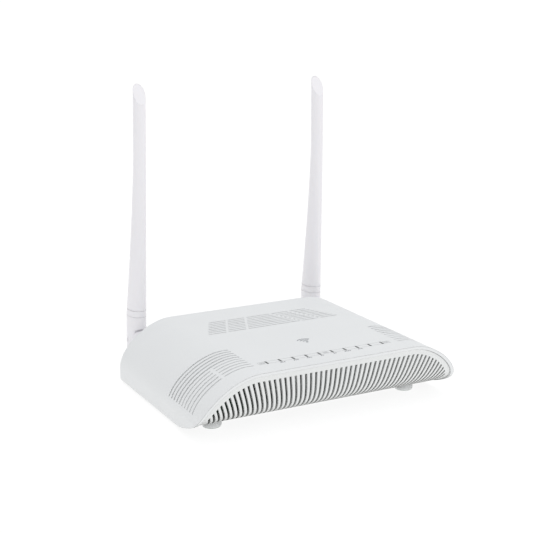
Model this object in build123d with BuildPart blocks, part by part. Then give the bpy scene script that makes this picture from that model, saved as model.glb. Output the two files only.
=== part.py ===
from build123d import *
import math
import os

os.makedirs("parts", exist_ok=True)

# Optical network terminal: an arched tunnel-shaped casing on four low feet, a fan of
# narrow slots across its leaning front, sockets in its rear panel and two jointed
# antennas behind it. +X is to the right seen from the front, +Y to the rear, +Z up.
# The origin is on the surface it stands on, under the middle of its bounding box.

# ---- Casing ----
casing_width = 205.0
hood_height = 45.2
casing_depth = 152.5
overall_depth = 188.0
foot_height = 1.0
wall = 2.4
seam = 0.2
flat_half_width = 60.5
shoulder_low = 11.0
shoulder_reach = 0.45
corner_radius = 2.6

underside = foot_height
hood_top = underside + hood_height
front_y = -overall_depth / 2
rear_y = front_y + casing_depth
inner = wall + seam

# The front leans back gently and curls under into the base.
front_lean = 0.19
underside_reach = 41.4
curl_power = 5.8
lip_height = 2.6

tray_half_width = 95.8
post_x = 84.0
post_front_y = -30.0
post_rear_y = 36.0
post_radius = 3.6
boss_height = 5.0
foot_radius = 6.5
foot_x = 79.2
foot_front_y = front_y + 39.0
foot_rear_y = 47.0

# ---- Front grille ----
grille_thickness = 2.0
grille_recess = 0.8
grille_border = 3.8
slot_pitch = 4.0
slot_width = 1.75
slot_count = 54
fan_height = 218.0
fan_level = 40.0
slot_floor = 9.5

# ---- Vents and light slots in the hood ----
vent_width = 1.0
vent_rows = 8
vent_front = front_y + 95.5
vent_row_pitch = 3.86
vent_front_half = 54.9
vent_back_half = 41.1
vent_bar = 2.2
shoulder_vents = 10
shoulder_through = 5
shoulder_pitch = 4.33
shoulder_first = front_y + 17.2
shoulder_inner_x = 57.9
shoulder_break_x = 79.5
shoulder_low_z = 17.2
shoulder_turn = 5.7
groove_depth = 0.5
groove_width = 0.8
light_count = 10
light_pitch = 10.27
light_centre_x = -0.9
light_y = front_y + 18.9
light_length = 5.0
light_width = 1.2

# ---- Circuit board ----
board_half_width = 76.0
board_front = -58.0
board_rear = rear_y - 3.5
board_bottom = underside + 7.0
board_thickness = 1.6
board_top = board_bottom + board_thickness
board_screw_x = 70.0
board_screw_front = -38.0
board_screw_rear = 40.0

# ---- Rear panel and its sockets ----
panel_thickness = 2.0
panel_recess = 0.4
panel_outer = rear_y - panel_recess
panel_inner = panel_outer - panel_thickness
power_button_x = -62.0
power_jack_x = -50.0
wifi_button_x = -40.5
wps_button_x = -33.5
reset_x = -27.3
phone_x = -17.5
ethernet_x = 20.7
optical_x = 58.5
button_z = board_top + 5.0

# ---- Antennas ----
hub_x = 78.9
left_lean = 1.5
hub_z = underside + 23.8
hub_radius = 8.6
hub_start = panel_outer + 0.3
pin_y = rear_y + 25.0
hub_end = pin_y - 8.5
shaft_radius = 4.4
shaft_end = panel_inner - 7.0
tongue_half = 2.5
pin_radius = 1.5
fork_half_x = 7.2
fork_half_y = 10.5
fork_bottom = -7.0
fork_top = 19.2
taper_end = 145.0
blade_top = 198.2
blade_radius = 4.8
blade_offset = -8.7
tip_drop = 15.0
cavity_radius = 3.3


def upright(y):
    """A plane across the casing, with its origin on the underside."""
    return Plane(origin=(0, y, underside), x_dir=(1, 0, 0), z_dir=(0, -1, 0))


def casing_section(inset):
    """The arched cross-section of the casing, drawn smaller by inset all round."""
    half_width = casing_width / 2 - inset
    top = hood_height - inset
    corner = max(corner_radius - inset, 0.4)
    reach_x = shoulder_reach * (half_width - flat_half_width)
    reach_z = shoulder_reach * (top - shoulder_low)
    with BuildSketch(Plane.XY) as section:
        with BuildLine():
            Line((0, top), (flat_half_width, top))
            Bezier(
                (flat_half_width, top),
                (flat_half_width + reach_x, top),
                (half_width, shoulder_low + reach_z),
                (half_width, shoulder_low),
            )
            Line((half_width, shoulder_low), (half_width, inset + corner))
            CenterArc((half_width - corner, inset + corner), corner, 0, -90)
            Line((half_width - corner, inset), (0, inset))
            mirror(about=Plane.YZ)
        make_face()
    return section.sketch


def front_point(height, inset):
    """A point (y, z) of the front outline at a height above the underside."""
    left = 1 - height / hood_height
    setback = front_lean * (hood_height - height) + underside_reach * left**curl_power
    slope = -front_lean - underside_reach * curl_power / hood_height * left ** (curl_power - 1)
    length = math.hypot(1, slope)
    return (front_y + setback + inset / length, underside + height - inset * slope / length)


def front_region(inset):
    """Side view of everything behind the front outline moved inward by inset."""
    spans = 10
    heights = [hood_height * (1 - math.sqrt(i / spans)) for i in range(spans + 1)]
    outline = [front_point(height, inset) for height in heights]
    top_y, top_z = outline[0]
    low_y, low_z = outline[-1]
    with BuildSketch(Plane.XY) as region:
        with BuildLine():
            Spline(*outline)
            Polyline(
                (low_y, low_z),
                (rear_y + 5, low_z),
                (rear_y + 5, top_z + 5),
                (top_y, top_z + 5),
                (top_y, top_z),
            )
        make_face()
    return region.sketch


def save(part, name):
    part.label = name
    export_step(part, f"parts/{name}.step")


outer_section = casing_section(0)
groove_section = casing_section(groove_depth)
wall_section = casing_section(wall)
inner_section = casing_section(inner)
slot_section = casing_section(inner + grille_border)
outer_region = front_region(0)
boss_region = front_region(0.5)
wall_region = front_region(wall)
grille_front_region = front_region(grille_recess)
grille_back_region = front_region(grille_recess + grille_thickness)

# ---- Cutting shapes for the hood ----
with BuildPart() as inner_arch:
    with BuildSketch(upright(rear_y + 5)):
        add(groove_section)
    extrude(amount=casing_depth + 10)

with BuildPart() as shoulder_cuts:
    reach = casing_width / 2 - shoulder_inner_x + 4
    for index in range(shoulder_vents):
        vent_y = shoulder_first + index * shoulder_pitch
        with BuildSketch(
            Plane(origin=(shoulder_inner_x, vent_y, 0), x_dir=(1, 0, 0), z_dir=(0, 0, 1)).rotated(
                (0, 0, shoulder_turn)
            )
        ):
            with Locations((reach / 2, 0)):
                Rectangle(reach, 1.2 if index >= shoulder_vents - shoulder_through else groove_width)
        extrude(amount=hood_height + 2)
    with Locations((shoulder_inner_x + reach / 2, 0, underside + shoulder_low_z / 2 - 5)):
        Box(reach * 1.5, 300, shoulder_low_z + 10, mode=Mode.SUBTRACT)

with BuildPart() as shoulder_grooves:
    add(shoulder_cuts.part)
    blind_edge = shoulder_first + (shoulder_vents - shoulder_through - 0.5) * shoulder_pitch
    with BuildSketch(
        Plane(origin=(shoulder_inner_x, blind_edge, 0), x_dir=(1, 0, 0)).rotated((0, 0, shoulder_turn))
    ):
        with Locations((0, 100)):
            Rectangle(300, 200)
    extrude(amount=hood_height + 10, mode=Mode.SUBTRACT)
    with Locations((shoulder_break_x, 0, hood_top - 10)):
        Box(2.4, 300, 60, mode=Mode.SUBTRACT)
    add(inner_arch.part, mode=Mode.SUBTRACT)

with BuildPart() as shoulder_slots:
    add(shoulder_cuts.part)
    with BuildSketch(
        Plane(origin=(shoulder_inner_x, blind_edge, 0), x_dir=(1, 0, 0)).rotated((0, 0, shoulder_turn))
    ):
        with Locations((0, -100)):
            Rectangle(300, 200)
    extrude(amount=hood_height + 10, mode=Mode.SUBTRACT)

# ---- Top cover ----
row_span = (vent_rows - 1) * vent_row_pitch
with BuildSketch(Plane.XY) as vent_bars:
    with Locations((0, vent_front + row_span / 2)):
        with GridLocations(0, vent_row_pitch, 1, vent_rows):
            Rectangle(200, vent_width)

with BuildPart() as top_cover:
    with BuildSketch(upright(rear_y)):
        add(outer_section)
        add(wall_section, mode=Mode.SUBTRACT)
    extrude(amount=casing_depth + 1)
    with Locations((0, 0, underside)):
        Box(2 * (tray_half_width + seam), 2 * casing_depth, 2 * wall + 0.2, mode=Mode.SUBTRACT)
    post_spots = [
        (x, y) for x in (-post_x, post_x) for y in (post_front_y, post_rear_y)
    ]
    with BuildSketch(Plane.XY.offset(underside + boss_height + seam)):
        with Locations(*post_spots):
            Circle(post_radius)
    extrude(until=Until.NEXT)
    with BuildSketch(Plane.XY.offset(underside + boss_height + seam)):
        with Locations(*post_spots):
            Circle(1.35)
    extrude(amount=12, mode=Mode.SUBTRACT)
    with BuildSketch(Plane.YZ):
        add(outer_region)
    extrude(amount=casing_width, both=True, mode=Mode.INTERSECT)
    # Rows of vents above the processor, in columns that spread towards the front.
    with BuildSketch(Plane.XY.offset(hood_top - wall - 1)):
        with BuildLine():
            Polyline(
                (-vent_front_half, vent_front - 1),
                (vent_front_half, vent_front - 1),
                (vent_back_half, vent_front + row_span + 1),
                (-vent_back_half, vent_front + row_span + 1),
                close=True,
            )
        make_face()
        for front_x, back_x in ((40.1, 26.0), (23.6, 10.0)):
            for side in (-1, 1):
                with BuildLine():
                    Polyline(
                        (side * (front_x - vent_bar / 2), vent_front - 2),
                        (side * (front_x + vent_bar / 2), vent_front - 2),
                        (side * (back_x + vent_bar / 2), vent_front + row_span + 2),
                        (side * (back_x - vent_bar / 2), vent_front + row_span + 2),
                        close=True,
                    )
                make_face(mode=Mode.SUBTRACT)
        add(vent_bars.sketch, mode=Mode.INTERSECT)
    extrude(amount=wall + 5, mode=Mode.SUBTRACT)
    # Ten slots for the light guide.
    with BuildSketch(Plane.XY.offset(hood_top - wall - 1)):
        with Locations((light_centre_x, light_y)):
            with GridLocations(light_pitch, 0, light_count, 1):
                RectangleRounded(light_width + 0.2, light_length + 0.2, 0.3)
    extrude(amount=wall + 5, mode=Mode.SUBTRACT)
    # Curved vents over both shoulders: the rear ones go through, the front ones are shallow.
    add(shoulder_slots.part, mode=Mode.SUBTRACT)
    add(shoulder_grooves.part, mode=Mode.SUBTRACT)
    add(mirror(shoulder_slots.part, about=Plane.YZ, mode=Mode.PRIVATE), mode=Mode.SUBTRACT)
    add(mirror(shoulder_grooves.part, about=Plane.YZ, mode=Mode.PRIVATE), mode=Mode.SUBTRACT)
save(top_cover.part, "top_cover")

# ---- Bottom case ----
with BuildPart() as tray_limits:
    with BuildSketch(upright(rear_y)):
        add(inner_section)
    extrude(amount=casing_depth + 1)
    with Locations((0, 0, underside)):
        Box(2 * tray_half_width, 2 * casing_depth, 2 * inner)

foot_spots = [(x, y) for x in (-foot_x, foot_x) for y in (foot_front_y, foot_rear_y)]
with BuildPart() as foot_bosses:
    with BuildSketch(Plane.XY.offset(underside)):
        with Locations((-foot_x, foot_front_y), (foot_x, foot_front_y)):
            Circle(foot_radius + 0.3)
    extrude(amount=9)
    with BuildSketch(Plane.YZ):
        add(boss_region)
    extrude(amount=casing_width, both=True, mode=Mode.SUBTRACT)

with BuildPart() as bottom_case:
    with BuildSketch(Plane.YZ):
        add(outer_region)
        add(wall_region, mode=Mode.SUBTRACT)
        with Locations((0, underside + lip_height + 50)):
            Rectangle(2 * casing_depth, 100, mode=Mode.SUBTRACT)
        with Locations((panel_outer + 10, 0)):
            Rectangle(20, 60, mode=Mode.SUBTRACT)
    extrude(amount=casing_width, both=True)
    add(tray_limits.part, mode=Mode.INTERSECT)
    add(foot_bosses.part)
    board_spots = [
        (x, y)
        for x in (-board_screw_x, board_screw_x)
        for y in (board_screw_front, board_screw_rear)
    ]
    with BuildSketch(Plane.XY.offset(underside + wall / 2)):
        with Locations(*board_spots):
            Circle(3.2)
    extrude(amount=board_bottom - underside - wall / 2)
    with BuildSketch(Plane.XY.offset(board_bottom)):
        with Locations(*board_spots):
            Circle(1.1)
    extrude(amount=-4.5, mode=Mode.SUBTRACT)
    with BuildSketch(Plane.XY.offset(underside + wall / 2)):
        with Locations(*post_spots):
            Circle(4.6)
    extrude(amount=boss_height - wall / 2)
    with BuildSketch(Plane.XY.offset(underside)):
        with Locations(*post_spots):
            Circle(1.6)
    extrude(amount=20, both=True, mode=Mode.SUBTRACT)
    with BuildSketch(Plane.XY.offset(underside - 5)):
        with Locations(*post_spots):
            Circle(3.1)
    extrude(amount=5 + 2.6, mode=Mode.SUBTRACT)
save(bottom_case.part, "bottom_case")

# ---- Front grille: a thin curved panel with a fan of slots ----
with BuildSketch(Plane.XY) as slot_limits:
    add(slot_section)
    with Locations((0, slot_floor - 50)):
        Rectangle(casing_width, 100, mode=Mode.SUBTRACT)

with BuildPart() as front_grille:
    with BuildSketch(Plane.YZ):
        add(grille_front_region)
        add(grille_back_region, mode=Mode.SUBTRACT)
        with Locations((0, underside + lip_height + seam - 50)):
            Rectangle(2 * casing_depth, 100, mode=Mode.SUBTRACT)
    extrude(amount=casing_width, both=True)
    with BuildSketch(upright(rear_y)):
        add(inner_section)
    extrude(amount=casing_depth + 1, mode=Mode.INTERSECT)
    with BuildSketch(upright(front_y - 5)) as slot_fan:
        for index in range(slot_count):
            level_x = (index - (slot_count - 1) / 2) * slot_pitch
            low_scale = (fan_height - fan_level) / fan_height
            high_scale = (fan_height + hood_height - fan_level) / fan_height
            with BuildLine():
                Polyline(
                    (level_x * low_scale - slot_width / 2, 0),
                    (level_x * low_scale + slot_width / 2, 0),
                    (level_x * high_scale + slot_width / 2, hood_height),
                    (level_x * high_scale - slot_width / 2, hood_height),
                    close=True,
                )
            make_face()
        add(slot_limits.sketch, mode=Mode.INTERSECT)
    extrude(amount=-60, mode=Mode.SUBTRACT)
save(front_grille.part, "front_grille")

# ---- Rear panel ----
with BuildPart() as rear_panel:
    with BuildSketch(upright(panel_outer)):
        add(inner_section)
    extrude(amount=panel_thickness)
    with BuildSketch(upright(panel_outer + 1)):
        with Locations((-hub_x, hub_z - underside), (hub_x, hub_z - underside)):
            Circle(shaft_radius + 0.06)
        board_level = board_top - underside
        with Locations((ethernet_x, board_level + 6.7)):
            Rectangle(58.8, 13.8)
        with Locations((phone_x, board_level + 6.2)):
            Rectangle(13.4, 12.8)
        with Locations((optical_x, board_level + 6.6)):
            Rectangle(10.3, 13.0)
        with Locations((power_jack_x, board_level + 5.5)):
            Rectangle(9.4, 11.4)
        with Locations((power_button_x, button_z - underside)):
            RectangleRounded(7.6, 7.6, 0.8)
        with Locations((wifi_button_x, button_z - underside), (wps_button_x, button_z - underside)):
            Circle(2.75)
        with Locations((reset_x, button_z - underside)):
            Circle(1.0)
    extrude(amount=panel_thickness + 2, mode=Mode.SUBTRACT)
save(rear_panel.part, "rear_panel")

# ---- Feet and screws ----
with BuildPart() as rubber_feet:
    with BuildSketch():
        with Locations(*foot_spots):
            Circle(foot_radius)
    extrude(amount=underside)
    chamfer(rubber_feet.edges().group_by(Axis.Z)[0], 0.4)
save(rubber_feet.part, "rubber_feet")

with BuildPart() as case_screws:
    with BuildSketch(Plane.XY.offset(underside + 0.6)):
        with Locations(*post_spots):
            Circle(2.8)
    extrude(amount=2.0)
    with BuildSketch(Plane.XY.offset(underside + 2.6)):
        with Locations(*post_spots):
            Circle(1.25)
    extrude(amount=12)
    with BuildSketch(Plane.XY.offset(underside + 0.6)):
        with Locations(*post_spots):
            RectangleRounded(3.0, 0.7, 0.2)
            RectangleRounded(0.7, 3.0, 0.2)
    extrude(amount=1.2, mode=Mode.SUBTRACT)
save(case_screws.part, "case_screws")

with BuildPart() as board_screws:
    with BuildSketch(Plane.XY.offset(board_top)):
        with Locations(*board_spots):
            Circle(2.6)
    extrude(amount=1.6)
    with BuildSketch(Plane.XY.offset(board_top)):
        with Locations(*board_spots):
            Circle(1.0)
    extrude(amount=-5.5)
    with BuildSketch(Plane.XY.offset(board_top + 1.6)):
        with Locations(*board_spots):
            RectangleRounded(2.8, 0.6, 0.2)
            RectangleRounded(0.6, 2.8, 0.2)
    extrude(amount=-0.9, mode=Mode.SUBTRACT)
save(board_screws.part, "board_screws")

with BuildPart() as rating_plate:
    with BuildSketch(Plane.XY.offset(underside - 0.2)):
        with Locations((0, 10)):
            RectangleRounded(70, 45, 2)
    extrude(amount=0.2)
save(rating_plate.part, "rating_plate")

# ---- Circuit board and what stands on it ----
with BuildPart() as main_board:
    with BuildSketch(Plane.XY.offset(board_bottom)):
        with Locations((0, (board_front + board_rear) / 2)):
            RectangleRounded(2 * board_half_width, board_rear - board_front, 2)
        with Locations(*board_spots):
            Circle(1.3, mode=Mode.SUBTRACT)
    extrude(amount=board_thickness)
save(main_board.part, "main_board")

processor_size = 21.0
processor_x = 0.0
processor_y = 6.0
with BuildPart() as main_processor:
    with BuildSketch(Plane.XY.offset(board_top)):
        with Locations((processor_x, processor_y)):
            Rectangle(processor_size, processor_size)
    extrude(amount=1.6)
save(main_processor.part, "main_processor")

with BuildPart() as thermal_pad:
    with BuildSketch(Plane.XY.offset(board_top + 1.6)):
        with Locations((processor_x, processor_y)):
            Rectangle(processor_size - 2, processor_size - 2)
    extrude(amount=0.8)
save(thermal_pad.part, "thermal_pad")

sink_size = 38.0
sink_base = board_top + 2.4
with BuildPart() as heat_sink:
    with BuildSketch(Plane.XY.offset(sink_base)):
        with Locations((processor_x, processor_y)):
            Rectangle(sink_size, sink_size)
    extrude(amount=2.0)
    with BuildSketch(Plane.XY.offset(sink_base + 2.0)):
        with Locations((processor_x, processor_y)):
            with GridLocations(4.0, 0, 10, 1):
                Rectangle(1.2, sink_size)
    extrude(amount=9.0)
save(heat_sink.part, "heat_sink")

with BuildPart() as memory_chips:
    with BuildSketch(Plane.XY.offset(board_top)):
        with Locations((-30, 12), (-30, -4), (30, -6)):
            Rectangle(13, 9)
    extrude(amount=1.1)
save(memory_chips.part, "memory_chips")

with BuildPart() as wifi_shield:
    with BuildSketch(Plane.XY.offset(board_top)):
        with Locations((-50, 4)):
            RectangleRounded(20, 34, 1)
            RectangleRounded(19.4, 33.4, 0.7, mode=Mode.SUBTRACT)
    extrude(amount=2.6)
    with BuildSketch(Plane.XY.offset(board_top + 2.6)):
        with Locations((-50, 4)):
            RectangleRounded(20, 34, 1)
    extrude(amount=0.3)
save(wifi_shield.part, "wifi_shield")

with BuildPart() as wifi_chip:
    with BuildSketch(Plane.XY.offset(board_top)):
        with Locations((-50, 4)):
            Rectangle(9, 9)
    extrude(amount=0.9)
save(wifi_chip.part, "wifi_chip")

with BuildPart() as line_transformers:
    with BuildSketch(Plane.XY.offset(board_top)):
        with Locations((ethernet_x - 12, 32), (ethernet_x + 12, 32)):
            Rectangle(17, 9)
    extrude(amount=5.5)
    chamfer(line_transformers.edges().group_by(Axis.Z)[-1], 0.5)
save(line_transformers.part, "line_transformers")

with BuildPart() as electrolytic_capacitors:
    with BuildSketch(Plane.XY.offset(board_top)):
        with Locations((-66, 15), (-66, 5), (48, 14), (60, 8)):
            Circle(4.0)
    extrude(amount=11)
    chamfer(electrolytic_capacitors.edges().group_by(Axis.Z)[-1], 0.6)
save(electrolytic_capacitors.part, "electrolytic_capacitors")

with BuildPart() as power_inductors:
    with BuildSketch(Plane.XY.offset(board_top)):
        with Locations((-66, -8), (-66, -20)):
            RectangleRounded(7, 7, 1.2)
    extrude(amount=4)
save(power_inductors.part, "power_inductors")

with BuildPart() as clock_crystal:
    with BuildSketch(Plane.XY.offset(board_top)):
        with Locations((0, -22)):
            SlotOverall(11, 4.6)
    extrude(amount=3.5)
save(clock_crystal.part, "clock_crystal")

# ---- Status lights and the guide that carries them to the top ----
lamp_y = -50.0
with BuildPart() as status_lights:
    with BuildSketch(Plane.XY.offset(board_top)):
        with Locations((light_centre_x, lamp_y)):
            with GridLocations(light_pitch, 0, light_count, 1):
                Rectangle(1.6, 2.4)
    extrude(amount=0.8)
save(status_lights.part, "status_lights")

guide_low = board_top + 1.1
guide_bend = underside + 27.0
half_tip = light_length / 2
with BuildPart() as light_guide:
    for index in range(light_count):
        guide_x = light_centre_x + (index - (light_count - 1) / 2) * light_pitch
        with BuildSketch(Plane.YZ.offset(guide_x)):
            with BuildLine():
                Polyline(
                    (light_y - half_tip, hood_top - 0.1),
                    (light_y - half_tip, guide_bend),
                    (lamp_y - 1.5, guide_low + 2.5),
                    (lamp_y - 1.5, guide_low),
                    (lamp_y + 1.5, guide_low),
                    (lamp_y + 1.5, guide_low + 3.5),
                    (light_y + half_tip, guide_bend + 2.5),
                    (light_y + half_tip, hood_top - 0.1),
                    close=True,
                )
            make_face()
        extrude(amount=light_width / 2, both=True)
    with Locations((light_centre_x, light_y, underside + 34)):
        Box((light_count - 1) * light_pitch + 4, 2.4, 2.4)
save(light_guide.part, "light_guide")

# ---- Optical port and transceiver ----
optical_low = board_top + 0.4
optical_height = 12.4
optical_mid = optical_low + optical_height / 2
with BuildPart() as optical_port:
    with Locations((optical_x, panel_outer - 9.0, optical_mid)):
        Box(9.9, 18.0, optical_height)
    with Locations((optical_x, panel_outer - 7.0, optical_mid)):
        Box(7.5, 14.0, 9.3, mode=Mode.SUBTRACT)
    with BuildSketch(Plane(origin=(optical_x, panel_outer - 14.5, optical_mid), z_dir=(0, 1, 0))):
        Circle(2.7)
    extrude(amount=5.0)
    with BuildSketch(Plane(origin=(optical_x, panel_outer - 20, optical_mid), z_dir=(0, 1, 0))):
        Circle(1.72)
    extrude(amount=14, mode=Mode.SUBTRACT)
save(optical_port.part, "optical_port")

with BuildPart() as ferrule_sleeve:
    with BuildSketch(Plane(origin=(optical_x, panel_outer - 16.0, optical_mid), z_dir=(0, 1, 0))):
        Circle(1.65)
        Circle(1.26, mode=Mode.SUBTRACT)
    extrude(amount=9.5)
save(ferrule_sleeve.part, "ferrule_sleeve")

with BuildPart() as optical_transceiver:
    with BuildSketch(Plane(origin=(optical_x, panel_outer - 18.1, optical_mid), z_dir=(0, -1, 0))):
        Circle(3.3)
    extrude(amount=7.0)
    with Locations((optical_x, panel_outer - 31.0, optical_mid - 1.0)):
        Box(9.0, 12.0, 8.0)
    with BuildSketch(Plane(origin=(optical_x, panel_outer - 37.0, optical_mid - 1.0), z_dir=(0, -1, 0))):
        Circle(2.4)
    extrude(amount=4.0)
save(optical_transceiver.part, "optical_transceiver")

# ---- Ethernet and telephone sockets ----
jack_pitch = 14.6
jack_count = 4
jack_height = 13.4
jack_depth = 16.0
jack_mouth_low = board_top + 2.4
jack_mouth_height = 8.4
with BuildPart() as ethernet_jacks:
    with Locations((ethernet_x, panel_outer - jack_depth / 2, board_top + jack_height / 2)):
        Box(jack_count * jack_pitch - 0.5, jack_depth, jack_height - 0.5)
    with Locations((ethernet_x, panel_outer - 6.5, jack_mouth_low + jack_mouth_height / 2)):
        with GridLocations(jack_pitch, 0, jack_count, 1):
            Box(11.9, 13.0, jack_mouth_height, mode=Mode.SUBTRACT)
    with Locations((ethernet_x, panel_outer - 5.0, jack_mouth_low - 0.7)):
        with GridLocations(jack_pitch, 0, jack_count, 1):
            Box(4.0, 10.0, 1.4, mode=Mode.SUBTRACT)
save(ethernet_jacks.part, "ethernet_jacks")

contact_pitch = 1.02
contact_count = 8


def contact_springs(centres, count, root_z):
    """Rows of spring wires that slope down into socket mouths from their roofs."""
    with BuildPart() as springs:
        for centre_x in centres:
            for index in range(count):
                wire_x = centre_x + (index - (count - 1) / 2) * contact_pitch
                with BuildSketch(Plane.YZ.offset(wire_x)):
                    with BuildLine():
                        Polyline(
                            (panel_outer - 3.5, root_z),
                            (panel_outer - 10.5, root_z - 1.9),
                            (panel_outer - 10.5, root_z - 1.5),
                            (panel_outer - 3.9, root_z + 0.3),
                            close=True,
                        )
                    make_face()
                extrude(amount=0.2, both=True)
    return springs.part


contact_root = jack_mouth_low + jack_mouth_height - 0.4
jack_centres = [ethernet_x + (jack - (jack_count - 1) / 2) * jack_pitch for jack in range(jack_count)]
save(contact_springs(jack_centres, contact_count, contact_root), "ethernet_contacts")

shield_half = jack_count * jack_pitch / 2
with BuildPart() as ethernet_shield:
    with Locations((ethernet_x, panel_outer - 0.2 - (jack_depth - 0.2) / 2, board_top + jack_height / 2)):
        Box(2 * shield_half, jack_depth - 0.2, jack_height)
        Box(2 * shield_half - 0.5, jack_depth + 1, jack_height - 0.5, mode=Mode.SUBTRACT)
save(ethernet_shield.part, "ethernet_shield")

phone_mouth_low = board_top + 2.6
phone_mouth_height = 7.0
with BuildPart() as phone_jack:
    with Locations((phone_x, panel_outer - 7.5, board_top + 6.2)):
        Box(13.0, 15.0, 12.4)
    with Locations((phone_x, panel_outer - 6.0, phone_mouth_low + phone_mouth_height / 2)):
        Box(9.9, 12.0, phone_mouth_height, mode=Mode.SUBTRACT)
    with Locations((phone_x, panel_outer - 4.5, phone_mouth_low - 0.7)):
        Box(3.6, 9.0, 1.4, mode=Mode.SUBTRACT)
save(phone_jack.part, "phone_jack")

save(contact_springs([phone_x], 4, phone_mouth_low + phone_mouth_height - 0.4), "phone_contacts")

# ---- Power socket ----
power_mid = board_top + 6.0
with BuildPart() as power_jack:
    with Locations((power_jack_x, panel_outer - 7.0, board_top + 5.5)):
        Box(9.0, 14.0, 11.0)
    with BuildSketch(Plane(origin=(power_jack_x, panel_outer, power_mid), z_dir=(0, -1, 0))):
        Circle(3.15)
    extrude(amount=10.5, mode=Mode.SUBTRACT)
save(power_jack.part, "power_jack")

with BuildPart() as power_jack_pin:
    with BuildSketch(Plane(origin=(power_jack_x, panel_outer - 10.5, power_mid), z_dir=(0, 1, 0))):
        Circle(1.0)
    extrude(amount=9.0)
    fillet(power_jack_pin.faces().sort_by(Axis.Y)[-1].edges(), 0.5)
save(power_jack_pin.part, "power_jack_pin")

# ---- Switches and their buttons ----
power_travel = 2.5
power_switch_front = panel_inner - 6.0
with BuildPart() as power_switch:
    with Locations((power_button_x, power_switch_front - 5.5, board_top + 5.0)):
        Box(8.0, 11.0, 10.0)
    with Locations((power_button_x, power_switch_front - 4.0, button_z)):
        Box(3.8, 8.0, 3.8, mode=Mode.SUBTRACT)
save(power_switch.part, "power_switch")

with BuildPart() as power_button:
    with BuildSketch(Plane(origin=(power_button_x, panel_inner - 0.3, button_z), z_dir=(0, 1, 0))):
        RectangleRounded(7.0, 7.0, 0.6)
    extrude(amount=panel_thickness + 4.0)
    fillet(power_button.faces().sort_by(Axis.Y)[-1].edges(), 0.5)
    with Locations((power_button_x, panel_inner - 0.3 - 0.6, button_z)):
        Box(8.6, 1.2, 8.6)
    with Locations((power_button_x, power_switch_front + 0.5, button_z)):
        Box(3.2, 10.0, 3.2)
save(power_button.part, "power_button")

press_travel = 0.8
tact_front = panel_inner - 5.0


def tact_switch(x, bore):
    """A low square push switch with a bore for its plunger."""
    with BuildPart() as switch:
        with Locations((x, tact_front - 2.0, board_top + 5.0)):
            Box(6.0, 4.0, 10.0)
        with BuildSketch(Plane(origin=(x, tact_front, button_z), z_dir=(0, -1, 0))):
            Circle(bore)
        extrude(amount=2.4, mode=Mode.SUBTRACT)
    return switch.part


def round_button(x):
    """A round cap with a shoulder behind the panel and a stem into its switch."""
    with BuildPart() as button:
        with BuildSketch(Plane(origin=(x, panel_inner - 0.3, button_z), z_dir=(0, 1, 0))):
            Circle(2.4)
        extrude(amount=panel_thickness + 1.5)
        fillet(button.faces().sort_by(Axis.Y)[-1].edges(), 0.4)
        with BuildSketch(Plane(origin=(x, panel_inner - 0.3, button_z), z_dir=(0, -1, 0))):
            Circle(3.2)
        extrude(amount=1.0)
        with BuildSketch(Plane(origin=(x, panel_inner - 1.3, button_z), z_dir=(0, -1, 0))):
            Circle(1.2)
        extrude(amount=4.7)
    return button.part


save(tact_switch(wifi_button_x, 1.6), "wifi_switch")
save(round_button(wifi_button_x), "wifi_button")
save(tact_switch(wps_button_x, 1.6), "wps_switch")
save(round_button(wps_button_x), "wps_button")
save(tact_switch(reset_x, 1.4), "reset_switch")

with BuildPart() as reset_plunger:
    with BuildSketch(Plane(origin=(reset_x, tact_front - 1.6, button_z), z_dir=(0, 1, 0))):
        Circle(1.1)
    extrude(amount=3.6)
save(reset_plunger.part, "reset_plunger")


# ---- Antennas ----
def blade_ellipse(height):
    """Half-widths across and along, and the centre, of a blade at a height above the pin."""
    left = min(max((taper_end - height) / (taper_end - fork_top), 0), 1)
    part = 1 - left**1.35
    half_x = fork_half_x + (blade_radius - fork_half_x) * part
    half_y = fork_half_y + (blade_radius - fork_half_y) * part
    return half_x, half_y, blade_offset * part


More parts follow.
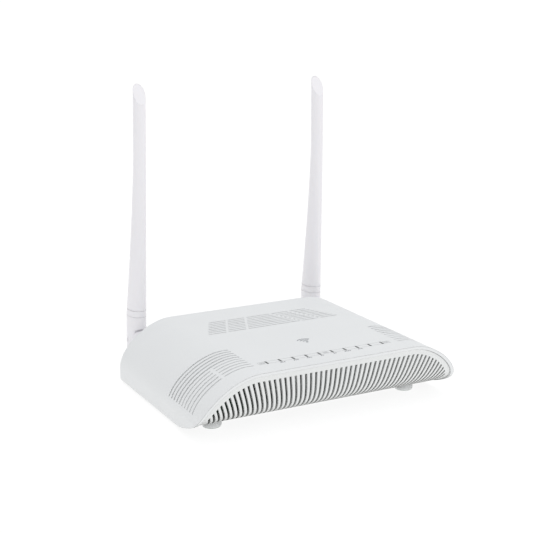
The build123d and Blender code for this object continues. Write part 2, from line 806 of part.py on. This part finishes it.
def antenna_parts(side, name, lean):
    """One antenna: hub, clip, hinge pin, fork, sleeve, feed cable, radiator, lead and plug."""
    x = side * hub_x
    hub_axis = Axis((x, 0, hub_z), (0, 1, 0))

    def across(y):
        return Plane(origin=(x, y, hub_z), x_dir=(1, 0, 0), z_dir=(0, 1, 0))

    def side_plane(offset):
        return Plane(origin=(x + offset, pin_y, hub_z), x_dir=(0, 1, 0), z_dir=(1, 0, 0))

    def level(height, centre=0.0):
        return Plane(origin=(x, pin_y + centre, hub_z + height), x_dir=(1, 0, 0), z_dir=(0, 0, 1))

    with BuildPart() as hub:
        with BuildSketch(across(hub_start)):
            Circle(hub_radius)
        extrude(amount=hub_end - hub_start)
        fillet(hub.faces().sort_by(Axis.Y)[-1].edges(), 1.6)
        with BuildSketch(side_plane(0)):
            Circle(6.8)
            with Locations((-5.5, 0)):
                Rectangle(9.0, 11.0)
        extrude(amount=tongue_half, both=True)
        with BuildSketch(side_plane(0)):
            Circle(pin_radius + 0.06)
        extrude(amount=10, both=True, mode=Mode.SUBTRACT)
        with BuildSketch(across(hub_start)):
            Circle(shaft_radius)
        extrude(amount=shaft_end - hub_start)
        with BuildSketch(across(panel_inner - 1.5)):
            Circle(shaft_radius + 1)
            Circle(shaft_radius - 0.8, mode=Mode.SUBTRACT)
        extrude(amount=-1.2, mode=Mode.SUBTRACT)
        with BuildSketch(across(shaft_end - 1)):
            Circle(1.7)
        extrude(amount=hub_start + 6 - shaft_end, mode=Mode.SUBTRACT)
    save(hub.part.rotate(hub_axis, lean), f"{name}_antenna_hub")

    with BuildPart() as clip:
        with BuildSketch(across(panel_inner - 1.6)):
            Circle(6.6)
            Circle(shaft_radius - 0.75, mode=Mode.SUBTRACT)
            with Locations((0, -5)):
                Rectangle(4.6, 10, mode=Mode.SUBTRACT)
        extrude(amount=-1.0)
    save(clip.part.rotate(hub_axis, lean), f"{name}_hub_clip")

    with BuildPart() as pin:
        with BuildSketch(side_plane(0)):
            Circle(pin_radius)
        extrude(amount=fork_half_x - 0.4, both=True)
    save(pin.part.rotate(hub_axis, lean), f"{name}_hinge_pin")

    with BuildPart() as fork:
        with BuildSketch(level(fork_bottom)):
            Ellipse(fork_half_x, fork_half_y)
        extrude(amount=fork_top - fork_bottom)
        with BuildSketch(side_plane(0)):
            with BuildLine():
                Polyline(
                    (-8.0, 0),
                    (-8.0, fork_top + 1),
                    (fork_half_y + 1, fork_top + 1),
                    (fork_half_y + 1, fork_bottom + 4),
                    (fork_half_y - 4, fork_bottom),
                    (-math.sqrt(8.0**2 - fork_bottom**2), fork_bottom),
                )
                CenterArc((0, 0), 8.0, 180, math.degrees(math.asin(-fork_bottom / 8.0)))
            make_face()
            with BuildLine():
                Polyline(
                    (-fork_half_y - 1, 0),
                    (-fork_half_y - 1, fork_top + 1),
                    (-7.5, fork_top + 1),
                    (-7.5, 0),
                    close=True,
                )
            make_face()
        extrude(amount=20, both=True, mode=Mode.INTERSECT)
        with BuildSketch(across(pin_y - 8.0)):
            Circle(9.8)
        extrude(amount=-10, mode=Mode.SUBTRACT)
        with BuildSketch(side_plane(0)):
            Circle(7.4)
            with Locations((-6, 0)):
                Rectangle(12, 14.8)
            with Locations((0, -6)):
                Rectangle(14.8, 12)
        extrude(amount=tongue_half + 0.3, both=True, mode=Mode.SUBTRACT)
        with BuildSketch(side_plane(0)):
            Circle(pin_radius + 0.02)
        extrude(amount=20, both=True, mode=Mode.SUBTRACT)
        with BuildSketch(level(fork_top)):
            Circle(cavity_radius - 0.5)
        extrude(amount=4)
        with BuildSketch(level(0)):
            Circle(1.3)
        extrude(amount=fork_top + 10, mode=Mode.SUBTRACT)
    save(fork.part.rotate(hub_axis, lean), f"{name}_antenna_fork")

    with BuildPart() as sleeve:
        for step in range(6):
            height = fork_top + 0.15 + (taper_end - fork_top - 0.15) * step / 5
            half_x, half_y, centre = blade_ellipse(height)
            with BuildSketch(level(height, centre)):
                Ellipse(half_x, half_y)
        loft()
        with BuildSketch(level(taper_end, blade_offset)):
            Circle(blade_radius)
        extrude(amount=blade_top + 4 - taper_end)
        for step in range(6):
            height = fork_top + (taper_end - fork_top) * step / 5
            with BuildSketch(level(height, blade_ellipse(height)[2])):
                Circle(cavity_radius)
        loft(mode=Mode.SUBTRACT)
        with BuildSketch(level(taper_end, blade_offset)):
            Circle(cavity_radius)
        extrude(amount=29, mode=Mode.SUBTRACT)
        with BuildSketch(side_plane(0)):
            with BuildLine():
                Polyline(
                    (blade_offset - blade_radius - 3, blade_top + 20),
                    (blade_offset - blade_radius, blade_top - tip_drop),
                    (blade_offset + blade_radius, blade_top),
                    (blade_offset + blade_radius + 3, blade_top + 20),
                    close=True,
                )
            make_face()
        extrude(amount=20, both=True, mode=Mode.SUBTRACT)
        half_x, half_y, centre = blade_ellipse(fork_top + 5.2)
        with BuildSketch(level(fork_top + 5.0, centre)):
            Ellipse(half_x + 1, half_y + 1)
            Ellipse(half_x - 0.35, half_y - 0.35, mode=Mode.SUBTRACT)
        extrude(amount=0.5, mode=Mode.SUBTRACT)
    save(sleeve.part.rotate(hub_axis, lean), f"{name}_antenna_sleeve")

    with BuildPart() as feed:
        heights = [fork_top + 5 + (taper_end - fork_top - 5) * step / 6 for step in range(7)]
        with BuildLine() as feed_line:
            Spline(*[(x, pin_y + blade_ellipse(height)[2], hub_z + height) for height in heights])
        with BuildSketch(Plane(origin=feed_line.line @ 0, z_dir=feed_line.line % 0)):
            Circle(0.9)
        sweep()
    save(feed.part.rotate(hub_axis, lean), f"{name}_antenna_feed")

    with BuildPart() as radiator:
        with BuildSketch(level(taper_end + 0.2, blade_offset)):
            Circle(2.4)
        extrude(amount=28)
    save(radiator.part.rotate(hub_axis, lean), f"{name}_antenna_radiator")

    with BuildPart() as lead:
        points = [
            (x, shaft_end + 4, hub_z),
            (x, shaft_end - 9, hub_z),
            (x - side * 5, shaft_end - 17, hub_z - 8),
            (x - side * 8, shaft_end - 24, board_top + 2.4),
            (x - side * 8, shaft_end - 24, board_top + 1.2),
        ]
        with BuildLine():
            FilletPolyline(*points, radius=[6, 6, 0.4])
        with BuildSketch(Plane(origin=points[0], z_dir=(0, -1, 0))):
            Circle(0.65)
        sweep()
    save(lead.part, f"{name}_antenna_lead")

    with BuildPart() as plug:
        with BuildSketch(Plane(origin=(x - side * 8, shaft_end - 24, board_top))):
            Circle(1.4)
        extrude(amount=1.2)
    save(plug.part, f"{name}_lead_plug")


antenna_parts(-1, "left", left_lean)
antenna_parts(1, "right", 0)
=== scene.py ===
import math

import bmesh
import bpy
from mathutils import Matrix, Vector


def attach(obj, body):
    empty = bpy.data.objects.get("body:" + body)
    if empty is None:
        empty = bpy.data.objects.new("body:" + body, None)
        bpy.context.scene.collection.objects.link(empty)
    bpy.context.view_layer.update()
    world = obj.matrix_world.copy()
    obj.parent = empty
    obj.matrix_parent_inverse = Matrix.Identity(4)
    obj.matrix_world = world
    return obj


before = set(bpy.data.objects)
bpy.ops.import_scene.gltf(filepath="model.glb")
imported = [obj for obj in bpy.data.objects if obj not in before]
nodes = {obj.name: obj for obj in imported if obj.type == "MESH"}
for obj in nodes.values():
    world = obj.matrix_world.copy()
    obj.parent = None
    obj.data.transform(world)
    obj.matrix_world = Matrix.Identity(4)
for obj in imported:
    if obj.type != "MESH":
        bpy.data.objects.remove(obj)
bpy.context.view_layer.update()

# Places in the CAD frame, in millimetres.
MM = 0.001
HOOD_TOP = 46.2
FRONT_Y = -94.0
PANEL_OUTER = 58.1
BOARD_TOP = 9.6

# The photograph's camera: image width and focal length in pixels, then its place and direction.
IMAGE_WIDTH = 533
FOCAL_PIXELS = 1134
SENSOR_MM = 36
CAMERA_PLACE = (-0.3859, -0.7185, 0.2897)
CAMERA_YAW, CAMERA_PITCH, CAMERA_ROLL = 27.79, 13.67, -0.24


# ---------------------------------------------------------------- camera
def look(yaw, pitch, roll):
    """Rotation of a camera from its yaw to the right of +Y, its downward pitch and its roll."""
    forward = Vector((math.sin(yaw) * math.cos(pitch), math.cos(yaw) * math.cos(pitch), -math.sin(pitch)))
    right = Vector((math.cos(yaw), -math.sin(yaw), 0))
    up = right.cross(forward)
    c, s = math.cos(roll), math.sin(roll)
    x_axis, y_axis = c * right + s * up, c * up - s * right
    return Matrix((x_axis, y_axis, -forward)).transposed()


camera = bpy.data.cameras.new("camera")
camera.sensor_width = SENSOR_MM
camera.lens = FOCAL_PIXELS / IMAGE_WIDTH * SENSOR_MM
camera.clip_start = 0.02
camera.clip_end = 200
camera_object = bpy.data.objects.new("camera", camera)
camera_object.location = CAMERA_PLACE
camera_object.rotation_euler = look(
    math.radians(CAMERA_YAW), math.radians(CAMERA_PITCH), math.radians(CAMERA_ROLL)
).to_euler()
bpy.context.collection.objects.link(camera_object)
bpy.context.scene.camera = camera_object


# ---------------------------------------------------------------- materials
def material(name, color, roughness=0.5, metallic=0.0, specular=0.5, coat=0.0, subsurface=0.0):
    m = bpy.data.materials.new(name)
    m.use_nodes = True
    tree = m.node_tree
    shader = tree.nodes["Principled BSDF"]
    shader.inputs["Base Color"].default_value = (*color, 1)
    shader.inputs["Roughness"].default_value = roughness
    shader.inputs["Metallic"].default_value = metallic
    shader.inputs["Specular IOR Level"].default_value = specular
    shader.inputs["Coat Weight"].default_value = coat
    if subsurface:
        shader.inputs["Subsurface Weight"].default_value = subsurface
        shader.inputs["Subsurface Radius"].default_value = (1.0, 0.9, 0.8)
        shader.inputs["Subsurface Scale"].default_value = 0.001
    return m, tree, shader


def noise(tree, scale, detail=3.0, roughness=0.5, stretch=(1, 1, 1)):
    """Noise in object space; scale is in features per metre."""
    nodes_, links = tree.nodes, tree.links
    where = nodes_.new("ShaderNodeTexCoord")
    place = nodes_.new("ShaderNodeMapping")
    place.inputs["Scale"].default_value = stretch
    texture = nodes_.new("ShaderNodeTexNoise")
    texture.inputs["Scale"].default_value = scale
    texture.inputs["Detail"].default_value = detail
    texture.inputs["Roughness"].default_value = roughness
    links.new(where.outputs["Object"], place.inputs["Vector"])
    links.new(place.outputs["Vector"], texture.inputs["Vector"])
    return texture.outputs["Fac"]


def ramp(tree, fac, stops):
    """A colour ramp through (position, colour) stops."""
    r = tree.nodes.new("ShaderNodeValToRGB")
    elements = r.color_ramp.elements
    while len(elements) < len(stops):
        elements.new(0.5)
    for element, (position, color) in zip(elements, stops):
        element.position = position
        element.color = (*color, 1)
    tree.links.new(fac, r.inputs["Fac"])
    return r.outputs["Color"]


def spread(tree, fac, low, high):
    """Maps 0.3 to 0.7 of a noise to low to high."""
    r = tree.nodes.new("ShaderNodeMapRange")
    r.inputs["From Min"].default_value = 0.3
    r.inputs["From Max"].default_value = 0.7
    r.inputs["To Min"].default_value = low
    r.inputs["To Max"].default_value = high
    tree.links.new(fac, r.inputs["Value"])
    return r.outputs["Result"]


def bump(tree, shader, height, strength, distance):
    b = tree.nodes.new("ShaderNodeBump")
    b.inputs["Strength"].default_value = strength
    b.inputs["Distance"].default_value = distance
    tree.links.new(height, b.inputs["Height"])
    tree.links.new(b.outputs["Normal"], shader.inputs["Normal"])
    return b


def painted_cavity_shade(tree, tone, color, reach, fade):
    """Paints shade into a tone where the surface is shut in by nearby surfaces.

    fade is two heights in millimetres: darkened fully at the first and not at all at the second.
    """
    cavity = tree.nodes.new("ShaderNodeAmbientOcclusion")
    cavity.samples = 6
    cavity.inputs["Distance"].default_value = reach
    openness = tree.nodes.new("ShaderNodeMapRange")
    openness.inputs["From Min"].default_value = 0.03
    openness.inputs["From Max"].default_value = 0.22
    tree.links.new(cavity.outputs["AO"], openness.inputs["Value"])
    where = tree.nodes.new("ShaderNodeTexCoord")
    parts = tree.nodes.new("ShaderNodeSeparateXYZ")
    height = tree.nodes.new("ShaderNodeMapRange")
    height.inputs["From Min"].default_value = fade[0] * MM
    height.inputs["From Max"].default_value = fade[1] * MM
    tree.links.new(where.outputs["Object"], parts.inputs["Vector"])
    tree.links.new(parts.outputs["Z"], height.inputs["Value"])
    larger = tree.nodes.new("ShaderNodeMath")
    larger.operation = "MAXIMUM"
    tree.links.new(openness.outputs["Result"], larger.inputs[0])
    tree.links.new(height.outputs["Result"], larger.inputs[1])
    mix = tree.nodes.new("ShaderNodeMix")
    mix.data_type = "RGBA"
    mix.inputs["A"].default_value = (*color, 1)
    tree.links.new(larger.outputs["Value"], mix.inputs["Factor"])
    tree.links.new(tone, mix.inputs["B"])
    return mix.outputs["Result"]


def plastic(
    name,
    color,
    rough=(0.42, 0.56),
    grain=2200,
    depth=0.00003,
    vary=0.02,
    subsurface=0.0,
    inside=None,
    edge=0.0,
):
    """Moulded plastic: a fine spark texture, slow changes of tone and uneven roughness.

    inside is the height fade of the shade painted into the colour where the surface is shut in; edge is the
    radius in metres that corners are shaded with.
    """
    m, tree, shader = material(name, color, subsurface=subsurface)
    slow = noise(tree, 18, 2.0)
    tone = ramp(
        tree,
        slow,
        (
            (0.3, tuple(max(c - vary, 0) for c in color)),
            (0.7, tuple(min(c + vary, 1) for c in color)),
        ),
    )
    # Shade painted into the colour where the surface is shut in by nearby surfaces.
    if inside:
        tone = painted_cavity_shade(tree, tone, PAINTED_SHADE_TONE, PAINTED_SHADE_REACH, inside)
    tree.links.new(tone, shader.inputs["Base Color"])
    fine = noise(tree, grain, 4.0, 0.6)
    tree.links.new(spread(tree, fine, *rough), shader.inputs["Roughness"])
    b = bump(tree, shader, fine, 0.35, depth)
    if edge:
        rounded = tree.nodes.new("ShaderNodeBevel")
        rounded.samples = 6
        rounded.inputs["Radius"].default_value = edge
        tree.links.new(rounded.outputs["Normal"], b.inputs["Normal"])
    return m


def metal(name, color, roughness=0.3, stretch=(1, 1, 1), grain=900):
    """Metal with a drawn or rolled grain."""
    m, tree, shader = material(name, color, roughness, metallic=1.0)
    fine = noise(tree, grain, 4.0, 0.6, stretch)
    tree.links.new(spread(tree, fine, roughness - 0.08, roughness + 0.12), shader.inputs["Roughness"])
    tone = ramp(tree, fine, ((0.3, tuple(c * 0.9 for c in color)), (0.7, color)))
    tree.links.new(tone, shader.inputs["Base Color"])
    bump(tree, shader, fine, 0.2, 0.00002)
    return m


def board_material():
    """Solder mask over copper: a weave of tracks that shows as slightly lighter, raised lines."""
    m, tree, shader = material("solder_mask", (0.01, 0.10, 0.04), 0.32, coat=0.2)
    where = tree.nodes.new("ShaderNodeTexCoord")
    bricks = tree.nodes.new("ShaderNodeTexBrick")
    bricks.inputs["Scale"].default_value = 260
    bricks.inputs["Mortar Size"].default_value = 0.06
    bricks.inputs["Color1"].default_value = (0.008, 0.085, 0.035, 1)
    bricks.inputs["Color2"].default_value = (0.012, 0.11, 0.045, 1)
    bricks.inputs["Mortar"].default_value = (0.03, 0.17, 0.08, 1)
    tree.links.new(where.outputs["Object"], bricks.inputs["Vector"])
    tree.links.new(bricks.outputs["Color"], shader.inputs["Base Color"])
    bump(tree, shader, bricks.outputs["Fac"], 0.4, 0.00004)
    return m


# The painted shade tone of a shut-in surface, and how far in metres a surface looks for what shuts it in.
PAINTED_SHADE_TONE = (0.07, 0.08, 0.065)
PAINTED_SHADE_REACH = 0.06

# The shell, base and grille get shade painted into their colour in slots, recesses and their insides.
SHELL = plastic("white_shell", (0.81, 0.82, 0.825), vary=0.008, inside=(24, 42), edge=0.0011)
BASE = plastic("white_base", (0.81, 0.82, 0.825), vary=0.008, inside=(3.2, 1.4), edge=0.0008)
ANTENNA = plastic(
    "white_antenna",
    (0.87, 0.855, 0.88),
    rough=(0.38, 0.5),
    grain=2600,
    vary=0.006,
    subsurface=0.05,
    edge=0.0006,
)
GRILLE = plastic("white_grille", (0.79, 0.80, 0.795), vary=0.008, inside=(45, 60), edge=0.0004)
PANEL = plastic("white_panel", (0.76, 0.77, 0.77), vary=0.01)
BLACK = plastic("black_plastic", (0.03, 0.031, 0.033), rough=(0.35, 0.5), vary=0.006)
GREY = plastic("grey_plastic", (0.25, 0.26, 0.27), vary=0.01)
CHIP = plastic("chip_resin", (0.022, 0.022, 0.024), rough=(0.5, 0.7), grain=4000, vary=0.004)
RUBBER = plastic("foot_rubber", (0.60, 0.63, 0.61), rough=(0.7, 0.85), grain=1500, depth=0.00005, vary=0.02)
LABEL = plastic("label_film", (0.72, 0.73, 0.74), rough=(0.25, 0.35), grain=700, vary=0.01)
PAD = plastic("thermal_pad", (0.30, 0.36, 0.48), rough=(0.7, 0.85), grain=900, vary=0.02)
GREEN = plastic("green_adapter", (0.015, 0.22, 0.09), rough=(0.3, 0.45), vary=0.01)
WHITE_CERAMIC = plastic("ceramic", (0.82, 0.82, 0.79), rough=(0.15, 0.25), grain=3000, vary=0.01)
CABLE = plastic("cable_jacket", (0.035, 0.035, 0.037), rough=(0.4, 0.5), grain=1200, vary=0.006)
CLEAR = plastic("light_pipe", (0.74, 0.77, 0.76), rough=(0.12, 0.2), grain=800, vary=0.02, subsurface=0.3)
STEEL = metal("steel", (0.56, 0.56, 0.57), 0.32)
TIN = metal("tin_plate", (0.72, 0.72, 0.70), 0.28, stretch=(1, 12, 1))
ALUMINIUM = metal("aluminium", (0.77, 0.78, 0.79), 0.4, stretch=(1, 10, 1))
GOLD = metal("gold_plate", (0.83, 0.62, 0.25), 0.22)
BOARD = board_material()

FINISHES = {
    "top_cover": SHELL,
    "bottom_case": BASE,
    "front_grille": GRILLE,
    "rear_panel": PANEL,
    "rubber_feet": RUBBER,
    "case_screws": STEEL,
    "board_screws": STEEL,
    "rating_plate": LABEL,
    "main_board": BOARD,
    "main_processor": CHIP,
    "thermal_pad": PAD,
    "heat_sink": ALUMINIUM,
    "memory_chips": CHIP,
    "wifi_shield": TIN,
    "wifi_chip": CHIP,
    "line_transformers": CHIP,
    "electrolytic_capacitors": ALUMINIUM,
    "power_inductors": GREY,
    "clock_crystal": TIN,
    "status_lights": CLEAR,
    "light_guide": CLEAR,
    "optical_port": GREEN,
    "ferrule_sleeve": WHITE_CERAMIC,
    "optical_transceiver": TIN,
    "ethernet_jacks": BLACK,
    "ethernet_contacts": GOLD,
    "ethernet_shield": TIN,
    "phone_jack": BLACK,
    "phone_contacts": GOLD,
    "power_jack": BLACK,
    "power_jack_pin": TIN,
    "power_switch": BLACK,
    "wifi_switch": BLACK,
    "wps_switch": BLACK,
    "reset_switch": BLACK,
    "power_button": ANTENNA,
    "wifi_button": ANTENNA,
    "wps_button": ANTENNA,
    "reset_plunger": BLACK,
}
for side in ("left", "right"):
    FINISHES[f"{side}_antenna_lead"] = CABLE
    FINISHES[f"{side}_lead_plug"] = GOLD
    FINISHES[f"{side}_antenna_hub"] = ANTENNA
    FINISHES[f"{side}_hub_clip"] = BLACK
    FINISHES[f"{side}_antenna_fork"] = ANTENNA
    FINISHES[f"{side}_antenna_sleeve"] = ANTENNA
    FINISHES[f"{side}_hinge_pin"] = ANTENNA
    FINISHES[f"{side}_antenna_feed"] = CABLE
    FINISHES[f"{side}_antenna_radiator"] = GOLD

for name, finish in FINISHES.items():
    mesh = nodes[name].data
    mesh.materials.clear()
    mesh.materials.append(finish)


# ---------------------------------------------------------------- softened edges
def soften(name, width):
    """A small round on the sharp edges of a CAD piece, as a mould leaves."""
    edge = nodes[name].modifiers.new("soft_edges", "BEVEL")
    edge.width = width * MM
    edge.segments = 2
    edge.limit_method = "ANGLE"
    edge.angle_limit = math.radians(50)
    edge.harden_normals = True
    edge.use_clamp_overlap = True


for name, width in (
    ("heat_sink", 0.15),
    ("ethernet_jacks", 0.15),
    ("phone_jack", 0.15),
    ("optical_port", 0.15),
    ("power_jack", 0.15),
    ("memory_chips", 0.1),
    ("main_processor", 0.1),
    ("rating_plate", 0.05),
):
    soften(name, width)


# ---------------------------------------------------------------- printed marks
def print_material(name, color, vary=0.02):
    """Pad-printed ink: flat, slightly uneven in tone, a little glossier than the plastic under it."""
    return plastic(name, color, rough=(0.35, 0.5), grain=3000, depth=0.00001, vary=vary)


SLATE_INK = print_material("slate_ink", (0.20, 0.215, 0.235))
GREY_INK = print_material("grey_ink", (0.09, 0.095, 0.12), 0.01)
PALE_INK = print_material("pale_ink", (0.40, 0.41, 0.41), 0.01)
DARK_LENS = plastic("smoked_lens", (0.055, 0.06, 0.06), rough=(0.2, 0.3), grain=1500, vary=0.01)
INK = 0.05


def printed(name, outlines, finish, height=HOOD_TOP, ink=INK):
    """Flat closed outlines (lists of x, y in millimetres) raised by the thickness of the ink."""
    mesh = bpy.data.meshes.new(name)
    shape = bmesh.new()
    for outline in outlines:
        low = [shape.verts.new((x * MM, y * MM, height * MM)) for x, y in outline]
        high = [shape.verts.new((x * MM, y * MM, (height + ink) * MM)) for x, y in outline]
        count = len(outline)
        shape.faces.new(high)
        for i in range(count):
            shape.faces.new((low[i], low[(i + 1) % count], high[(i + 1) % count], high[i]))
    bmesh.ops.recalc_face_normals(shape, faces=shape.faces)
    shape.to_mesh(mesh)
    shape.free()
    mesh.materials.append(finish)
    piece = bpy.data.objects.new(name, mesh)
    bpy.context.collection.objects.link(piece)
    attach(piece, "housing")
    return piece


def bar(x, y, width, length, slant=0.0):
    """A rectangle centred on x, y whose top leans by slant."""
    return [
        (x - width / 2 - slant / 2, y - length / 2),
        (x + width / 2 - slant / 2, y - length / 2),
        (x + width / 2 + slant / 2, y + length / 2),
        (x - width / 2 + slant / 2, y + length / 2),
    ]


def sector(x, y, inner, outer, start, end, steps=24):
    """A piece of a ring between two angles in degrees."""
    angles = [math.radians(start + (end - start) * i / steps) for i in range(steps + 1)]
    points = [(x + outer * math.cos(a), y + outer * math.sin(a)) for a in angles]
    if inner > 0:
        points += [(x + inner * math.cos(a), y + inner * math.sin(a)) for a in reversed(angles)]
    else:
        points.append((x, y))
    return points


# A plain grey sign for wireless: three arcs over a dot, opening to the rear.
FAN_X, FAN_Y = 0.0, FRONT_Y + 46.0
FAN_START, FAN_END = 50, 130
FAN_RINGS = ((2.6, 3.5), (4.9, 5.8), (7.2, 8.1))
fan = [sector(FAN_X, FAN_Y, inner, outer, FAN_START, FAN_END) for inner, outer in FAN_RINGS]
fan.append(sector(FAN_X, FAN_Y, 0, 1.0, 0, 359.9))
printed("signal_sign", fan, SLATE_INK)

# Ten status lights in a row, joined by two thin lines and closed at both ends.
LIGHT_Y = FRONT_Y + 18.9
LIGHT_PITCH = 10.27
LIGHT_MIDDLE = -0.9
LINE_WIDTH = 0.18
LINE_OFFSET = 2.1
LIGHTS = [LIGHT_MIDDLE + (i - 4.5) * LIGHT_PITCH for i in range(10)]
FIRST, LAST = LIGHTS[0], LIGHTS[-1]
gaps = list(zip(LIGHTS, LIGHTS[1:]))
between = [
    bar((a + b) / 2, LIGHT_Y + s * LINE_OFFSET, b - a - 1.7, LINE_WIDTH) for a, b in gaps for s in (-1, 1)
]
beyond = [
    bar(x + s * 3.7, LIGHT_Y + t * LINE_OFFSET, 5.0, LINE_WIDTH)
    for x, s in ((FIRST, -1), (LAST, 1))
    for t in (-1, 1)
]
closing = [bar(x, LIGHT_Y, LINE_WIDTH, 2 * LINE_OFFSET) for x in (FIRST - 6.3, LAST + 6.3)]
printed("light_strip_lines", between + beyond + closing, PALE_INK)
printed(
    "light_strip_icons",
    [
        bar(x, LIGHT_Y + t * 1.0, 0.5, 0.7, 0.3)
        for c in (FIRST - 3.4, LAST + 3.4, (LIGHTS[4] + LIGHTS[5]) / 2)
        for x in (c - 1.5, c - 0.5, c + 0.5, c + 1.5)
        for t in (-1, 0, 1)
    ],
    PALE_INK,
)
printed(
    "light_labels",
    [
        bar(LIGHTS[i] + (k - (count - 1) / 2) * 1.35, LIGHT_Y - 4.3, 0.85, 1.1, 0.1)
        for i, count in zip(range(1, 8), (3, 3, 3, 2, 2, 4, 3))
        for k in range(count)
    ],
    GREY_INK,
)
printed("light_lenses", [bar(x, LIGHT_Y, 1.36, 5.1) for x in LIGHTS], DARK_LENS, HOOD_TOP - 0.03)


# ---------------------------------------------------------------- rear panel marks and socket lamps
def boxes(name, spots, finish, body="housing"):
    """Small chamfered blocks, each given by its low and high corner in millimetres."""
    mesh = bpy.data.meshes.new(name)
    shape = bmesh.new()
    for low, high in spots:
        made = bmesh.ops.create_cube(shape, size=1)["verts"]
        for vertex in made:
            vertex.co = Vector(
                [(low[k] + high[k]) / 2 * MM + vertex.co[k] * (high[k] - low[k]) * MM for k in range(3)]
            )
    thin = min(min(h - l for l, h in zip(low, high)) for low, high in spots)
    bmesh.ops.bevel(
        shape, geom=list(shape.edges), offset=thin * 0.18 * MM, segments=1, affect="EDGES", profile=0.5
    )
    shape.to_mesh(mesh)
    shape.free()
    mesh.materials.append(finish)
    piece = bpy.data.objects.new(name, mesh)
    bpy.context.collection.objects.link(piece)
    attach(piece, body)
    return piece


def lens(name, color):
    """Tinted clear plastic over a lamp."""
    return plastic(name, color, rough=(0.15, 0.25), grain=1500, vary=0.02, subsurface=0.2)


JACK_X = [20.7 + (j - 1.5) * 14.6 for j in range(4)]
LAMP_LOW, LAMP_HIGH = BOARD_TOP + 11.1, BOARD_TOP + 12.5
GREEN_LENS = lens("green_lens", (0.05, 0.35, 0.12))
AMBER_LENS = lens("amber_lens", (0.55, 0.27, 0.03))
for name, shift, finish in (("jack_lamps_green", -4.4, GREEN_LENS), ("jack_lamps_amber", 4.4, AMBER_LENS)):
    lamps = [
        (
            (x + shift - 1.3, PANEL_OUTER - 1.0, LAMP_LOW),
            (x + shift + 1.3, PANEL_OUTER + 0.12, LAMP_HIGH),
        )
        for x in JACK_X
    ]
    boxes(name, lamps, finish)

# A short row of plain dashes over each socket and button: where it is, and how many dashes.
MARK_Z = BOARD_TOP + 17.5
MARK_ROWS = [(-62, 1), (-50, 2), (-40.5, 3), (-33.5, 2), (-27.3, 1), (-17.5, 2)]
MARK_ROWS += [(x, 2) for x in JACK_X]
MARK_ROWS += [(58.5, 3)]
marks = []
for x, count in MARK_ROWS:
    for k in range(count):
        middle = x + (k - (count - 1) / 2) * 2.0
        low = (middle - 0.7, PANEL_OUTER - 0.02, MARK_Z)
        high = (middle + 0.7, PANEL_OUTER + 0.05, MARK_Z + 0.7)
        marks.append((low, high))
boxes("port_marks", marks, GREY_INK)

# ---------------------------------------------------------------- small parts on the board
RESISTOR = plastic("resistor_body", (0.05, 0.05, 0.055), rough=(0.3, 0.5), grain=5000, vary=0.01)
CERAMIC_CHIP = plastic("ceramic_chip", (0.42, 0.33, 0.22), rough=(0.4, 0.6), grain=5000, vary=0.03)
for name, finish, offset, row_y, count, pitch in (
    ("board_resistors", RESISTOR, 0.0, -42.0, 26, 4.2),
    ("board_ceramics", CERAMIC_CHIP, 1.4, -35.0, 22, 5.0),
    ("board_resistors_rear", RESISTOR, 0.7, 20.0, 12, 3.6),
):
    spots = []
    for k in range(count):
        x = (k - (count - 1) / 2) * pitch + offset
        y = row_y + 1.6 * math.sin(k * 2.1)
        wide, long = (0.5, 1.0) if k % 3 else (1.0, 0.5)
        spots.append(((x - wide, y - long, BOARD_TOP), (x + wide, y + long, BOARD_TOP + 0.55)))
    boxes(name, spots, finish)

# ---------------------------------------------------------------- lights and floor
world = bpy.data.worlds.new("studio")
bpy.context.scene.world = world
world.use_nodes = True
background = world.node_tree.nodes["Background"]
background.inputs["Color"].default_value = (0.98, 0.99, 1.0, 1)
background.inputs["Strength"].default_value = 0.78


def area_light(name, location, target, size, power):
    """A soft round lamp aimed at a point."""
    data = bpy.data.lights.new(name, "AREA")
    data.shape = "DISK"
    data.size = size
    data.energy = power
    light = bpy.data.objects.new(name, data)
    light.location = location
    aim = Vector(target) - Vector(location)
    light.rotation_euler = aim.to_track_quat("-Z", "Y").to_euler()
    bpy.context.collection.objects.link(light)


area_light("top_light", (0.3, 0.0, 1.6), (0, 0, 0), 1.4, 5.2)
area_light("front_light", (0.5, -1.5, 0.8), (0, 0, 0.05), 1.2, 2.0)

FLOOR_HALF = 60
CORNERS = ((-1, -1), (1, -1), (1, 1), (-1, 1))
floor_mesh = bpy.data.meshes.new("floor")
floor_mesh.from_pydata([(x * FLOOR_HALF, y * FLOOR_HALF, 0) for x, y in CORNERS], [], [(0, 1, 2, 3)])
floor = bpy.data.objects.new("floor", floor_mesh)
bpy.context.collection.objects.link(floor)
floor_material, _, floor_shader = material("studio_floor", (0.18, 0.18, 0.18), 0.9, specular=0.1)
floor_shader.inputs["Emission Color"].default_value = (1, 1, 1, 1)
floor_shader.inputs["Emission Strength"].default_value = 0.88
floor_mesh.materials.append(floor_material)

scene = bpy.context.scene
scene.view_settings.view_transform = "Standard"
